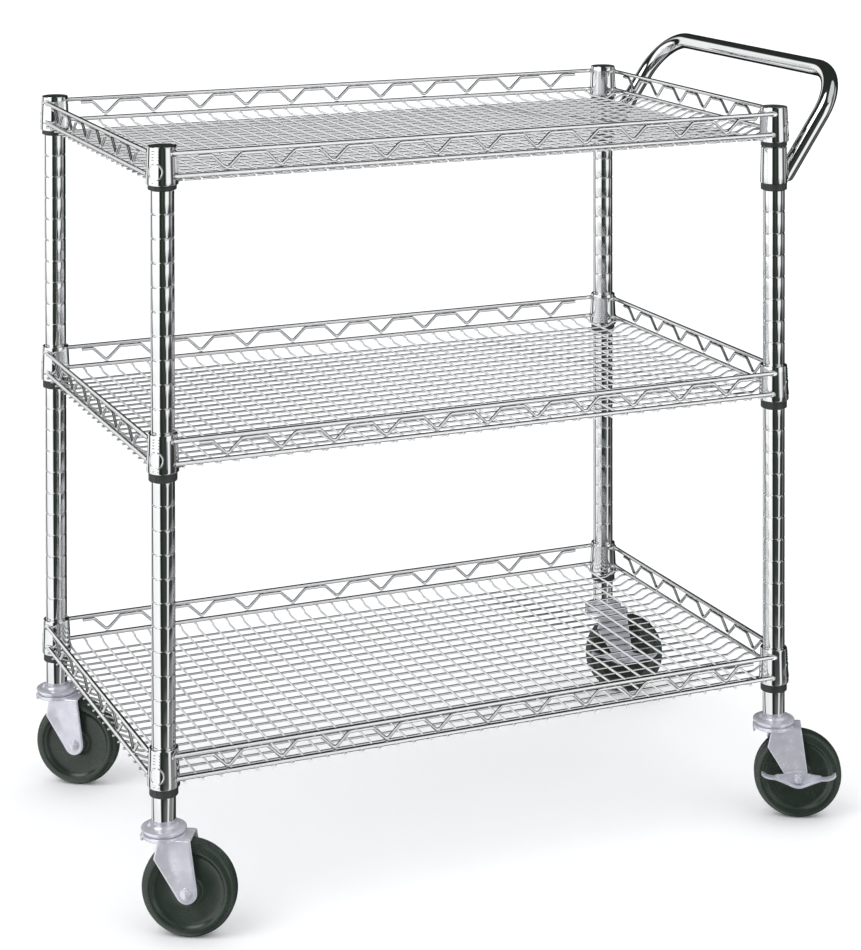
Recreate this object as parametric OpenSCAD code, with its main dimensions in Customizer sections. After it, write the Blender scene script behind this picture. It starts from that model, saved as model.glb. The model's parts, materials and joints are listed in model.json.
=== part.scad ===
// Wire shelf cart: four grooved posts, three wire shelves, a sloping push handle
// and four swivel casters, two of them with brake levers.
// X runs along the cart with the handle at +X (right), and Y across it with the
// front at -Y. The outline is centred on X and Y, and the wheels stand on Z = 0.

/* [Frame] */
// Distance between post centres along the cart
post_span_x = 740; // [600:10:1000]
// Distance between post centres across the cart
post_span_y = 434; // [380:2:560]
// Outside diameter of a post
post_d = 25.4; // [25.4:0.1:25.6]
// Wall thickness of a post
post_wall = 1.25; // [1:0.05:1.6]
// Distance between the locating grooves on a post
groove_pitch = 25.4; // [25.4:0.1:25.5]
// Depth of a locating groove
groove_depth = 0.6; // [0.3:0.1:0.8]
// Width of a locating groove
groove_w = 2.2; // [1.6:0.1:3]

/* [Shelves] */
// Height of the lowest sleeve above the floor
bottom_level = 147; // [140:1:170]
// Grooves between the bottom and middle shelves
steps_low = 13; // [8:1:16]
// Grooves between the middle and top shelves
steps_high = 12; // [8:1:16]
// Height of a corner collar
collar_h = 40.5; // [40:0.5:44]
// Distance of each rim plane outside the post centres
rim_out = 12.5; // [12:0.5:14]
// Height of the lower rim wire above the collar's bottom edge
rim_low = 9.2; // [9:0.1:10]
// Distance between the two rim wires
rim_gap = 24; // [22:0.5:26]
// Diameter of the rim wires
rim_wire_d = 4.8; // [4.2:0.1:5.2]
// Diameter of the zigzag wires
truss_wire_d = 3.6; // [3:0.1:4]
// Diameter of the deck wires
deck_wire_d = 2.6; // [2.2:0.1:3]
// Number of deck wires that run across the cart
cross_count = 36; // [30:1:40]
// Number of deck wires that run along the cart
long_count = 21; // [18:1:24]
// How far the deck drops below the rim
deck_drop = 3; // [2:0.5:4]

/* [Handle] */
// Diameter of the handle tube
handle_d = 20; // [19:0.5:22]
// Tilt of the handle from level
handle_tilt = 55; // [50:0.5:65]
// Length of each handle arm along its slope
handle_reach = 141.5; // [120:0.5:150]
// Bend radius of the handle corners
handle_bend = 57; // [45:1:65]

/* [Casters] */
// Diameter of a wheel
wheel_d = 101; // [98:0.1:102]
// Width of the wheel tread
wheel_w = 22.5; // [20:0.5:24]
// Level distance from the swivel axis to the axle
trail = 27.5; // [26:0.5:30]
// Diameter of the axle bolt
axle_d = 8; // [7.9:0.1:8]
// Facing angle of the front left caster
swivel_fl = -30; // [-180:1:180]
// Facing angle of the rear left caster
swivel_rl = -34; // [-180:1:180]
// Facing angle of the front right caster
swivel_fr = -29; // [-180:1:180]
// Facing angle of the rear right caster
swivel_rr = -28; // [-180:1:180]

/* [Hidden] */
$fn = 64;

CHROME = [0.80, 0.82, 0.84];
BLACK = [0.09, 0.10, 0.09];
ZINC = [0.68, 0.70, 0.75];
WHEEL = [0.12, 0.15, 0.13];

touch = 0.02; // gap left between touching pieces
run = 0.05;   // radial clearance of a running fit

// Corners, as indices into POSTS and SWIVELS
FRONT_LEFT = 0;
FRONT_RIGHT = 1;
REAR_LEFT = 2;
REAR_RIGHT = 3;
// x, y, heading of the diagonal that points out of the cart
POSTS = [
    [0, 0, 225],
    [post_span_x, 0, 315],
    [0, post_span_y, 135],
    [post_span_x, post_span_y, 45]
];
HANDLE_POSTS = [POSTS[FRONT_RIGHT], POSTS[REAR_RIGHT]];
SWIVELS = [swivel_fl, swivel_fr, swivel_rl, swivel_rr];

// Each shelf: height of its sleeves, height of its collars above that
mid_level = bottom_level + steps_low * groove_pitch;
top_level = mid_level + steps_high * groove_pitch;
BOTTOM = [bottom_level, 9];
MIDDLE = [mid_level, 9];
TOP = [top_level, 5];
function shelf_z(shelf) = shelf[0] + shelf[1];

handle_level = top_level - 2 * groove_pitch;
handle_seat = 7.8;

// Sizes that set the outline
plate_t = 2.6;           // fork sheet
leg_in = 15.6;           // caster's middle plane to the inside of a fork leg
leg_out = leg_in + plate_t;
race_r = 24;             // upper ball race, the outline's rear limit
narrow_x = 20;           // rounded corners at the narrow end of a fork's crown,
narrow_y = 6;            // the outline's left limit
crown_corner_r = 4;
lever_depth = 10;        // brake lever's flange
lever_gap = 0.3;         // between lever and fork leg
lever_tip = 43;          // lever's far end from the axle
arm_x = 14.8;            // start of the handle arms outside the post centres

// Outline limits, measured from the front left post
left_limit = -max(race_r,
    narrow_x * cos(swivel_fl) - narrow_y * sin(swivel_fl) + crown_corner_r);
right_limit = post_span_x + arm_x + handle_reach * cos(handle_tilt) + handle_d / 2;
front_limit = (trail + lever_tip) * sin(swivel_fr)
    - (leg_out + lever_depth + lever_gap) * cos(swivel_fr);
rear_limit = post_span_y + race_r;

// Moves from the front left post's frame to the centred one
module centred()
    translate([-(left_limit + right_limit) / 2, -(front_limit + rear_limit) / 2, 0])
        children();

// ---------- posts ----------
post_r = post_d / 2;
post_bore_r = post_r - post_wall;
post_foot = 118;
cap_h = 2;
post_head = shelf_z(TOP) + collar_h - cap_h;
last_groove = steps_low + steps_high + 1;
socket_bore_r = 5.52;
socket_h = 38;

function groove_points(z) = [
    [post_r, z - groove_w / 2],
    [post_r - groove_depth, z - groove_w / 4],
    [post_r - groove_depth, z + groove_w / 4],
    [post_r, z + groove_w / 2]
];

module post(corner)
    color(CHROME) centred() translate([POSTS[corner][0], POSTS[corner][1], 0])
        rotate_extrude() polygon(concat(
            [[post_bore_r, post_foot], [post_r, post_foot]],
            [for (k = [0 : last_groove]) each groove_points(bottom_level + k * groove_pitch)],
            [[post_r, post_head], [post_bore_r, post_head]]));

module post_front_left() post(FRONT_LEFT);
module post_front_right() post(FRONT_RIGHT);
module post_rear_left() post(REAR_LEFT);
module post_rear_right() post(REAR_RIGHT);

// Plugs with a thin head on the post tops
module post_caps()
    color(BLACK) centred() for (p = POSTS) translate([p[0], p[1], post_head])
        rotate_extrude() polygon([
            [0, -12], [post_bore_r - 0.4, -12],
            [post_bore_r - touch, -10], [post_bore_r - touch, touch],
            [post_r + 0.3, touch], [post_r + 0.3, 1.4],
            [post_r - 0.3, cap_h], [0, cap_h]]);

// Tubes in the post feet that take the caster stems
module caster_sockets()
    color(ZINC) centred() for (p = POSTS) translate([p[0], p[1], post_foot])
        rotate_extrude() polygon([
            [socket_bore_r, touch], [post_bore_r - touch, touch],
            [post_bore_r - touch, socket_h], [socket_bore_r, socket_h]]);

// ---------- sleeves ----------
sleeve_h = 43;
sleeve_bore_r = post_r + run;
ridge_bore_r = sleeve_bore_r - groove_depth;
sleeve_ring_r = 15.3;
sleeve_bulge = 0.004; // added to the cone between its ends
split_gap = 0.3;      // from the split plane to each half

// Outer radius of the cone at height z above the sleeve's bottom edge
function sleeve_r(z) = 15.0 - 1.1 * z / sleeve_h;

// One half of a split sleeve, with a ridge that sits in a post groove
// and a ring round its foot that the collar rests on
module sleeve_half(ring_h) intersection() {
    rotate_extrude() polygon([
        [sleeve_bore_r, 0.4], [sleeve_r(0), 0],
        [sleeve_ring_r, 0.5], [sleeve_ring_r, ring_h - 0.6],
        [sleeve_r(ring_h), ring_h - touch],
        for (z = [15, 22, 29, 36]) [sleeve_r(z) + sleeve_bulge, z],
        [sleeve_r(sleeve_h), sleeve_h], [sleeve_bore_r, sleeve_h],
        [sleeve_bore_r, groove_pitch + 0.8], [ridge_bore_r, groove_pitch + 0.3],
        [ridge_bore_r, groove_pitch - 0.3], [sleeve_bore_r, groove_pitch - 0.8]]);
    translate([-30, split_gap, -5]) cube([60, 30, 60]);
}

// The halves meet on the post's diagonal
module sleeves(level, ring_h, posts = POSTS)
    color(BLACK) centred() for (p = posts)
        translate([p[0], p[1], level]) rotate([0, 0, p[2]])
            for (side = [0, 180]) rotate([0, 0, side]) sleeve_half(ring_h);

module bottom_sleeves() sleeves(BOTTOM[0], BOTTOM[1]);
module middle_sleeves() sleeves(MIDDLE[0], MIDDLE[1]);
module top_sleeves() sleeves(TOP[0], TOP[1]);
module handle_sleeves() sleeves(handle_level, handle_seat, HANDLE_POSTS);

// ---------- collars ----------
collar_waist = 26;        // height where the collar's taper changes
handle_collar_h = 41.5;
lip_t = 1.6;              // lip over the top of the sleeve
lip_bore_r = post_r + 0.35;

// Outer radii at height z above the collar's bottom edge
function collar_r(z) = z < collar_waist
    ? 17.25 - 1.1 * z / collar_waist
    : 16.15 - 0.65 * (z - collar_waist) / (collar_h - collar_waist);
function handle_collar_r(z) = 15.9 - 0.9 * z / handle_collar_h;

// Tapered collars whose bores wedge on the sleeves
module collars(shelf) {
    seat = shelf[1];
    bore_top_r = sleeve_r(sleeve_h - 1) + touch;
    color(CHROME) centred() for (p = POSTS)
        translate([p[0], p[1], shelf_z(shelf)]) rotate([0, 0, p[2]])
            rotate_extrude() polygon([
                [sleeve_r(seat) + touch, 0.6], [sleeve_r(seat) + 0.6, 0], [16.7, 0],
                [collar_r(0.8), 0.8], [collar_r(4), 4],
                [collar_r(collar_waist), collar_waist],
                [collar_r(collar_h - 1), collar_h - 1],
                [collar_r(collar_h) - 0.9, collar_h],
                [lip_bore_r, collar_h], [lip_bore_r, collar_h - lip_t],
                [bore_top_r, collar_h - lip_t], [bore_top_r, sleeve_h - 1 - seat]]);
}
module bottom_collars() collars(BOTTOM);
module middle_collars() collars(MIDDLE);
module top_collars() collars(TOP);

module handle_collars() {
    bore_top_r = sleeve_r(sleeve_h - 2) + touch;
    bore_top_z = sleeve_h - handle_seat;
    color(CHROME) centred() for (p = HANDLE_POSTS)
        translate([p[0], p[1], handle_level + handle_seat])
            rotate_extrude() polygon([
                [sleeve_r(handle_seat) + touch, 0], [15.6, 0],
                [handle_collar_r(0.6), 0.6],
                [handle_collar_r(handle_collar_h - 0.6), handle_collar_h - 0.6],
                [14.6, handle_collar_h], [lip_bore_r, handle_collar_h],
                [lip_bore_r, handle_collar_h - lip_t],
                [bore_top_r, bore_top_z], [bore_top_r, bore_top_z - 2]]);
}

// ---------- rims ----------
rim_r = rim_wire_d / 2;
rim_xs = [-rim_out, post_span_x + rim_out];
rim_ys = [-rim_out, post_span_y + rim_out];

module on_shelf(shelf)
    color(CHROME) centred() translate([0, 0, shelf_z(shelf)]) children();

// Space taken by the collars, used to trim the wire ends
module collar_space()
    for (p = POSTS) translate([p[0], p[1], 0]) rotate_extrude() polygon([
        [0, -6], [collar_r(0) + touch, -6], [collar_r(0) + touch, 0],
        [collar_r(collar_waist) + touch, collar_waist],
        [collar_r(collar_h) + touch, collar_h],
        [collar_r(collar_h) + touch, collar_h + 2], [0, collar_h + 2]]);

module rim_wires(shelf) on_shelf(shelf) difference() {
    for (z = [rim_low, rim_low + rim_gap]) {
        for (y = rim_ys) translate([0, y, z]) rotate([0, 90, 0])
            cylinder(r = rim_r, h = post_span_x);
        for (x = rim_xs) translate([x, 0, z]) rotate([-90, 0, 0])
            cylinder(r = rim_r, h = post_span_y);
    }
    collar_space();
}
module bottom_rim_wires() rim_wires(BOTTOM);
module middle_rim_wires() rim_wires(MIDDLE);
module top_rim_wires() rim_wires(TOP);

// ---------- bent wires ----------
// Heading of the path's leg from point i to the next
function heading(path, i) =
    atan2(path[i + 1][1] - path[i][1], path[i + 1][0] - path[i][0]);
// Change of heading at point i, between -180 and 180
function turn(path, i) =
    let (change = heading(path, i) - heading(path, i - 1))
    change > 180 ? change - 360 : change < -180 ? change + 360 : change;

// Samples [x, y, heading] round the bend at point i
function bend_samples(path, i, bend_r, steps) =
    let (
        angle = turn(path, i),
        start_heading = heading(path, i - 1),
        leg = path[i] - path[i - 1],
        start = path[i] - leg / norm(leg) * bend_r * tan(abs(angle) / 2),
        signed_r = (angle > 0 ? 1 : -1) * bend_r,
        centre = start + signed_r * [-sin(start_heading), cos(start_heading)]
    )
    [for (k = [0 : steps]) let (q = start_heading + angle * k / steps)
        [centre[0] + signed_r * sin(q), centre[1] - signed_r * cos(q), q]];

// Samples along a path with its corners bent to bend_r
function bent(path, bend_r, steps) =
    let (last = len(path) - 1)
    concat(
        [[path[0][0], path[0][1], heading(path, 0)]],
        [for (i = [1 : last - 1]) each bend_samples(path, i, bend_r, steps)],
        [[path[last][0], path[last][1], heading(path, last - 1)]]);

// Wire bent in the XY plane. Its section is a rectangle, as wide in that plane
// as the round wire and with the same area.
module bent_wire(path, wire_r, bend_r, steps) {
    samples = bent(path, bend_r, steps);
    thickness = PI * wire_r / 2;
    translate([0, 0, -thickness / 2]) linear_extrude(thickness) polygon(concat(
        [for (s = samples) [s[0] - wire_r * sin(s[2]), s[1] + wire_r * cos(s[2])]],
        [for (i = [len(samples) - 1 : -1 : 0]) let (s = samples[i])
            [s[0] + wire_r * sin(s[2]), s[1] - wire_r * cos(s[2])]]));
}
// Turn a wire's plane upright, to run along or across the cart
module run_along() rotate([90, 0, 0]) children();
module run_across() rotate([90, 0, 90]) children();

// ---------- deck positions ----------
deck_r = deck_wire_d / 2;
weld_z = rim_low - rim_r - deck_r - touch; // wire ends, under the lower rim wires
cross_z = weld_z - deck_drop;
long_z = cross_z - deck_wire_d - touch;
deck_inset = 18.6;                         // outermost deck wires inside the posts
cross_pitch = (post_span_x - 2 * deck_inset) / (cross_count - 1);
long_pitch = (post_span_y - 2 * deck_inset) / (long_count - 1);

// ---------- zigzag wires between the rim wires ----------
truss_r = truss_wire_d / 2;
truss_low = rim_low + rim_r + truss_r + touch;
truss_high = rim_low + rim_gap - rim_r - truss_r - touch;
truss_pitch = 3 * cross_pitch;
truss_slant = (truss_high - truss_low) * 1.06; // level run of a sloping leg
truss_bend = 5;
truss_steps = 4;

// Whole pitches that fit on a side, and the place of the first low point
long_pitches = floor((post_span_x - 2 * 56) / truss_pitch);
long_first = (post_span_x - long_pitches * truss_pitch) / 2 - 2;
short_pitches = floor((post_span_y - 2 * 50) / truss_pitch);
short_first = (post_span_y - short_pitches * truss_pitch) / 2;

// Low points from first on, with ends reaching lead before the first
// and tail past the last
function zigzag(first, pitches, lead, tail) = concat(
    [[first - lead, truss_high]],
    [for (k = [0 : pitches]) let (low = first + k * truss_pitch)
        each [[low - truss_slant, truss_high], [low, truss_low],
              [low + truss_slant, truss_high]]],
    [[first + pitches * truss_pitch + tail, truss_high]]);

module truss_wires(shelf) on_shelf(shelf) {
    for (y = rim_ys) translate([0, y, 0]) run_along()
        bent_wire(zigzag(long_first, long_pitches, lead = 31, tail = 36),
            truss_r, truss_bend, truss_steps);
    for (x = rim_xs) translate([x, 0, 0]) run_across()
        bent_wire(zigzag(short_first, short_pitches, lead = 30, tail = 30),
            truss_r, truss_bend, truss_steps);
}
module bottom_truss_wires() truss_wires(BOTTOM);
module middle_truss_wires() truss_wires(MIDDLE);
module top_truss_wires() truss_wires(TOP);

// ---------- deck wires ----------
deck_end = rim_out + rim_r + 0.9; // ends stand a little proud of the rim
deck_flat = 9;                    // level part at each end
deck_ramp = 6.3;                  // level run of the slope for one deck_drop
deck_bend = 6;
deck_steps = 2;

// Wire that dips from weld_z at its ends to z
module deck_wire(span, z) {
    ramp = deck_ramp * (weld_z - z) / deck_drop;
    start = -deck_end;
    end = span + deck_end;
    bent_wire([
        [start, weld_z], [start + deck_flat, weld_z], [start + deck_flat + ramp, z],
        [end - deck_flat - ramp, z], [end - deck_flat, weld_z], [end, weld_z]],
        deck_r, deck_bend, deck_steps);
}
module cross_wires(shelf) on_shelf(shelf)
    for (k = [0 : cross_count - 1])
        translate([deck_inset + k * cross_pitch, 0, 0]) run_across()
            deck_wire(post_span_y, cross_z);
module long_wires(shelf) on_shelf(shelf)
    for (k = [0 : long_count - 1])
        translate([0, deck_inset + k * long_pitch, 0]) run_along()
            deck_wire(post_span_x, long_z);

module bottom_cross_wires() cross_wires(BOTTOM);
module middle_cross_wires() cross_wires(MIDDLE);
module top_cross_wires() cross_wires(TOP);
module bottom_long_wires() long_wires(BOTTOM);
module middle_long_wires() long_wires(MIDDLE);
module top_long_wires() long_wires(TOP);

// ---------- handle ----------
handle_r = handle_d / 2;
handle_bore_r = handle_r - 1.5;
arm_drop = 36.6; // start of the arms below the top sleeves' level
cut_margin = 30;

// Straight piece of both arms, starting at x
module arms(r, x, length)
    for (y = [0, post_span_y]) translate([x, y, 0]) rotate([0, 90, 0])
        cylinder(r = r, h = length);

// U of radius r, flat in the XY plane
module handle_path(r) {
    bend_x = handle_reach - handle_bend;
    arms(r, 0, bend_x);
    translate([handle_reach, handle_bend, 0]) rotate([-90, 0, 0])
        cylinder(r = r, h = post_span_y - 2 * handle_bend);
    translate([bend_x, handle_bend, 0]) rotate([0, 0, -90])
        rotate_extrude(angle = 90) translate([handle_bend, 0]) circle(r = r);
    translate([bend_x, post_span_y - handle_bend, 0])
        rotate_extrude(angle = 90) translate([handle_bend, 0]) circle(r = r);
}

// Arm ends run on toward the posts and are trimmed to the handle collars
module handle_tube() color(CHROME) centred() difference() {
    translate([post_span_x + arm_x, 0, top_level - arm_drop])
        rotate([0, -handle_tilt, 0]) difference() {
            union() {
                handle_path(handle_r);
                arms(handle_r, -10, 12);
            }
            handle_path(handle_bore_r);
            arms(handle_bore_r, -12, 15);
        }
    for (p = HANDLE_POSTS) translate([p[0], p[1], handle_level])
        cylinder(r = handle_collar_r(0) + touch, h = 55);
    translate([post_span_x - 10, -cut_margin, handle_level - cut_margin])
        cube([60, post_span_y + 2 * cut_margin, cut_margin + handle_seat + 1]);
}

// ---------- casters ----------
// A caster's own frame: swivel axis on Z, wheel offset along +X, axle along Y
wheel_r = wheel_d / 2;
axle_r = axle_d / 2;
ball_r = 2.5;
ball_circle_r = 16.5;
ball_z = 110.9;
ball_count = 16;
pin_r = 4;        // king pin
crown_z = 103.3;  // underside of the fork's crown
crown_top = crown_z + plate_t;

module at_caster(corner)
    centred() translate([POSTS[corner][0], POSTS[corner][1], 0])
        rotate([0, 0, SWIVELS[corner]]) children();
// On the axle line at y, with local Z along the caster's -Y
module at_axle(corner, y = 0)
    at_caster(corner) translate([trail, y, wheel_r]) rotate([90, 0, 0]) children();

module ball_groove() translate([ball_circle_r, ball_z]) circle(r = ball_r + run);

// Fixed stem with the upper ball race and the riveted king pin
module stem(corner) color(ZINC) at_caster(corner) rotate_extrude() difference() {
    polygon([
        [0, 100.4], [6.4, 100.4], [7.4, 101.2], [7.4, 103.2], [pin_r, 103.2],
        [pin_r, 108.2], [12, 108.2], [12.5, 112.2], [21.5, 112.2], [21.5, 110.4],
        [race_r, 110.4], [race_r, 113.2], [21.5, 115], [16, 116],
        [14.2, post_foot - touch], [5.5, post_foot - touch],
        [5.5, post_foot + 36], [4.6, post_foot + 37], [0, post_foot + 37]]);
    ball_groove();
}
module stem_front_left() stem(FRONT_LEFT);
module stem_front_right() stem(FRONT_RIGHT);
module stem_rear_left() stem(REAR_LEFT);
module stem_rear_right() stem(REAR_RIGHT);

module balls(corner) color(CHROME) at_caster(corner)
    for (i = [0 : ball_count - 1]) rotate([0, 0, i * 360 / ball_count])
        translate([ball_circle_r, 0, ball_z]) sphere(r = ball_r);
module balls_front_left() balls(FRONT_LEFT);
module balls_front_right() balls(FRONT_RIGHT);
module balls_rear_left() balls(REAR_LEFT);
module balls_rear_right() balls(REAR_RIGHT);

// Fork leg: rounded foot on the axle, and a corner on the -X edge from which
// a straight edge runs tangent to the foot
foot_r = 11.3;
knee_x = -7.5;
knee_z = 85;
tangent_angle = atan2(wheel_r - knee_z, trail - knee_x)
    - asin(foot_r / norm([trail - knee_x, wheel_r - knee_z]));
crown_wide_x = 31.5; // +X end of the crown

module fork_leg() linear_extrude(plate_t) union() {
    polygon([
        [-3, crown_top], [crown_wide_x, crown_top],
        [trail + foot_r, wheel_r + 2], [trail + foot_r, wheel_r],
        [trail + foot_r * sin(tangent_angle), wheel_r - foot_r * cos(tangent_angle)],
        [knee_x, knee_z], [knee_x + 0.7, knee_z + 3]]);
    translate([trail, wheel_r]) circle(r = foot_r);
}

module crown_post(x, y, r)
    translate([x, y, crown_z]) cylinder(r = r, h = plate_t, $fn = 32);

module crown() difference() {
    hull() for (side = [-1, 1]) {
        crown_post(-narrow_x, side * narrow_y, crown_corner_r);
        crown_post(-9, side * (leg_out - crown_corner_r), crown_corner_r);
        crown_post(crown_wide_x - 1, side * (leg_out - 1), 1);
    }
    translate([0, 0, 100]) cylinder(r = pin_r + run, h = 10);
}

// Pressed yoke: lower ball race, crown with a short turned-down lip, two legs
module fork(corner) color(ZINC) at_caster(corner) difference() {
    union() {
        rotate_extrude() polygon([
            [pin_r + run, crown_z], [22, crown_z], [23.4, 104.4],
            [23.4, 107.2], [22.4, 107.9], [pin_r + run, 107.9]]);
        rotate_extrude() difference() {
            polygon([[13.4, 107.5], [20.6, 107.5], [20.6, 110.6], [13.4, 110.6]]);
            ball_groove();
        }
        crown();
        translate([-narrow_x - crown_corner_r, -narrow_y, 98.5])
            cube([plate_t, 2 * narrow_y, 6]);
        for (side = [-1, 1])
            translate([0, side * (leg_in + plate_t / 2), 0]) rotate([90, 0, 0])
                translate([0, 0, -plate_t / 2]) fork_leg();
    }
    translate([trail, 40, wheel_r]) rotate([90, 0, 0])
        cylinder(r = axle_r + touch, h = 80);
}
module fork_front_left() fork(FRONT_LEFT);
module fork_front_right() fork(FRONT_RIGHT);
module fork_rear_left() fork(REAR_LEFT);
module fork_rear_right() fork(REAR_RIGHT);

// Bolt with its head at the caster's -Y end, longer where it holds a brake lever
module axle(corner, braked = false) color(ZINC) at_axle(corner) {
    head_r = braked ? 5.3 : 6.6;
    head_z = leg_out + (braked ? 3 : 0);
    thread_end = -leg_out - 10;
    rotate_extrude() polygon([
        [0, thread_end], [axle_r - 0.8, thread_end], [axle_r, thread_end + 0.8],
        [axle_r, head_z + touch], [head_r, head_z + touch],
        [head_r, head_z + 1.2], [head_r - 0.6, head_z + 1.4], [0, head_z + 1.4]]);
    translate([0, 0, head_z + 1]) cylinder(r = head_r - 1, h = 3.6, $fn = 6);
}
module axle_front_left() axle(FRONT_LEFT);
module axle_front_right() axle(FRONT_RIGHT, braked = true);
module axle_rear_left() axle(REAR_LEFT);
module axle_rear_right() axle(REAR_RIGHT, braked = true);

// Nut at the caster's +Y end: round flange, hexagon and round collar
module nut(corner) color(ZINC) at_caster(corner)
    translate([trail, leg_out + touch, wheel_r]) rotate([-90, 0, 0]) difference() {
        union() {
            cylinder(r = 7.4, h = 1.2);
            translate([0, 0, 1]) cylinder(r = 6.9, h = 5.6, $fn = 6);
            translate([0, 0, 6.4]) cylinder(r = 5.4, h = 1.6);
        }
        translate([0, 0, -1]) cylinder(r = axle_r + touch, h = 12);
    }
module nut_front_left() nut(FRONT_LEFT);
module nut_front_right() nut(FRONT_RIGHT);
module nut_rear_left() nut(REAR_LEFT);
module nut_rear_right() nut(REAR_RIGHT);

bushing_r = 6.34;
bushing_end = leg_in - 0.3;
hub_bore_r = bushing_r + touch;
tread_half = wheel_w / 2;
shoulder_r = 7.5;
// Half section of the wheel [radius, distance from its middle plane]
WHEEL_HALF = concat(
    [[hub_bore_r, 14.6], [11.5, 14.6], [13, 13.4], [14.5, 8.8], [17, 7.2],
     [34.5, 7.2], [37, 7.8], [39, 9.4], [40, tread_half - 0.4], [41, tread_half],
     [wheel_r - shoulder_r, tread_half]],
    [for (t = [80 : -10 : 10]) [wheel_r - shoulder_r + shoulder_r * cos(t),
                                tread_half - shoulder_r + shoulder_r * sin(t)]],
    [[wheel_r, tread_half - shoulder_r]]);

// Hard wheel: rounded tread shoulders, dished web and a wide hub
module wheel(corner) color(WHEEL) at_axle(corner) rotate_extrude()
    polygon(concat(WHEEL_HALF,
        [for (i = [len(WHEEL_HALF) - 1 : -1 : 0]) [WHEEL_HALF[i][0], -WHEEL_HALF[i][1]]]));
module wheel_front_left() wheel(FRONT_LEFT);
module wheel_front_right() wheel(FRONT_RIGHT);
module wheel_rear_left() wheel(REAR_LEFT);
module wheel_rear_right() wheel(REAR_RIGHT);

// Steel bushing pressed into the hub, running on the axle bolt
module bushing(corner) color(CHROME) at_axle(corner, bushing_end) rotate_extrude()
    polygon([[axle_r + run, 0], [bushing_r, 0],
             [bushing_r, 2 * bushing_end], [axle_r + run, 2 * bushing_end]]);
module bushing_front_left() bushing(FRONT_LEFT);
module bushing_front_right() bushing(FRONT_RIGHT);
module bushing_rear_left() bushing(REAR_LEFT);
module bushing_rear_right() bushing(REAR_RIGHT);

// Brake lever outlines [x, z] from the axle
LEVER_PLATE = [
    [-27, 3], [-16, 5], [-8, 7.6], [-3, 8.4], [3, 8.4], [8, 7.6],
    [16, 5.2], [27, 3.4], [15, -3], [4, -7], [-4, -7], [-15, -3]
];
LEVER_FLANGE = [
    [-42, 7.2], [-40, 6.4], [-36, 4], [-31, 2.9], [-26, 2.4], [-14, -2], [-4, -5.9],
    [4, -5.9], [14, -2], [26, 2.6], [33, 3.2], [38, 4.8], [41, 7.4], [lever_tip, 8.4],
    [lever_tip, 6.6], [40, 3.6], [34, 1.4], [26, 0.6], [14, -4], [4, -7.9],
    [-4, -7.9], [-14, -4], [-26, 0.4], [-32, 0.9], [-38, 2.6], [-42, 5.4]
];

// Two-ended foot lever that turns on the axle bolt
module brake_lever(corner) color(ZINC) at_axle(corner, -leg_out - lever_gap) difference() {
    union() {
        linear_extrude(2) polygon(LEVER_PLATE);
        linear_extrude(lever_depth) polygon(LEVER_FLANGE);
    }
    translate([0, 0, -1]) cylinder(r = axle_r + run, h = 4);
}
module brake_lever_front_right() brake_lever(FRONT_RIGHT);
module brake_lever_rear_right() brake_lever(REAR_RIGHT);

post_front_left();
post_front_right();
post_rear_left();
post_rear_right();
post_caps();
caster_sockets();
bottom_sleeves();
middle_sleeves();
top_sleeves();
handle_sleeves();
bottom_collars();
middle_collars();
top_collars();
handle_collars();
bottom_rim_wires();
middle_rim_wires();
top_rim_wires();
bottom_truss_wires();
middle_truss_wires();
top_truss_wires();
bottom_cross_wires();
middle_cross_wires();
top_cross_wires();
bottom_long_wires();
middle_long_wires();
top_long_wires();
handle_tube();
stem_front_left();
stem_rear_left();
stem_front_right();
stem_rear_right();
balls_front_left();
balls_rear_left();
balls_front_right();
balls_rear_right();
fork_front_left();
fork_rear_left();
fork_front_right();
fork_rear_right();
axle_front_left();
axle_rear_left();
axle_front_right();
axle_rear_right();
nut_front_left();
nut_rear_left();
nut_front_right();
nut_rear_right();
wheel_front_left();
wheel_rear_left();
wheel_front_right();
wheel_rear_right();
bushing_front_left();
bushing_rear_left();
bushing_front_right();
bushing_rear_right();
brake_lever_front_right();
brake_lever_rear_right();
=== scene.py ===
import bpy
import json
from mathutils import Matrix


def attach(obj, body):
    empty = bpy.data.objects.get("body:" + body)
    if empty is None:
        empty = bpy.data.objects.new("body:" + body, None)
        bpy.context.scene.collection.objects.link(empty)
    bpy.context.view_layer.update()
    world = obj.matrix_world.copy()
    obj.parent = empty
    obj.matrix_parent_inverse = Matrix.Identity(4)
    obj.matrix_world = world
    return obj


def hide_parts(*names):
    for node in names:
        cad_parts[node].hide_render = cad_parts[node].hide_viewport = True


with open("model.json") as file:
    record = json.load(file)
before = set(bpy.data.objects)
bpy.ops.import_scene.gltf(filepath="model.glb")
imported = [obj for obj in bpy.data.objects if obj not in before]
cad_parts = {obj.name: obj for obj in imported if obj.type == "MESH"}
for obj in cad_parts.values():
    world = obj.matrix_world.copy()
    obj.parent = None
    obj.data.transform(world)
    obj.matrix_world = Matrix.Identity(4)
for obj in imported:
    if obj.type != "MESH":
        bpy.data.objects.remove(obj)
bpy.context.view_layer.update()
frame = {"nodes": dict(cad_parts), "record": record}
import json
import math

import bmesh
import bpy
import numpy as np

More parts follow.
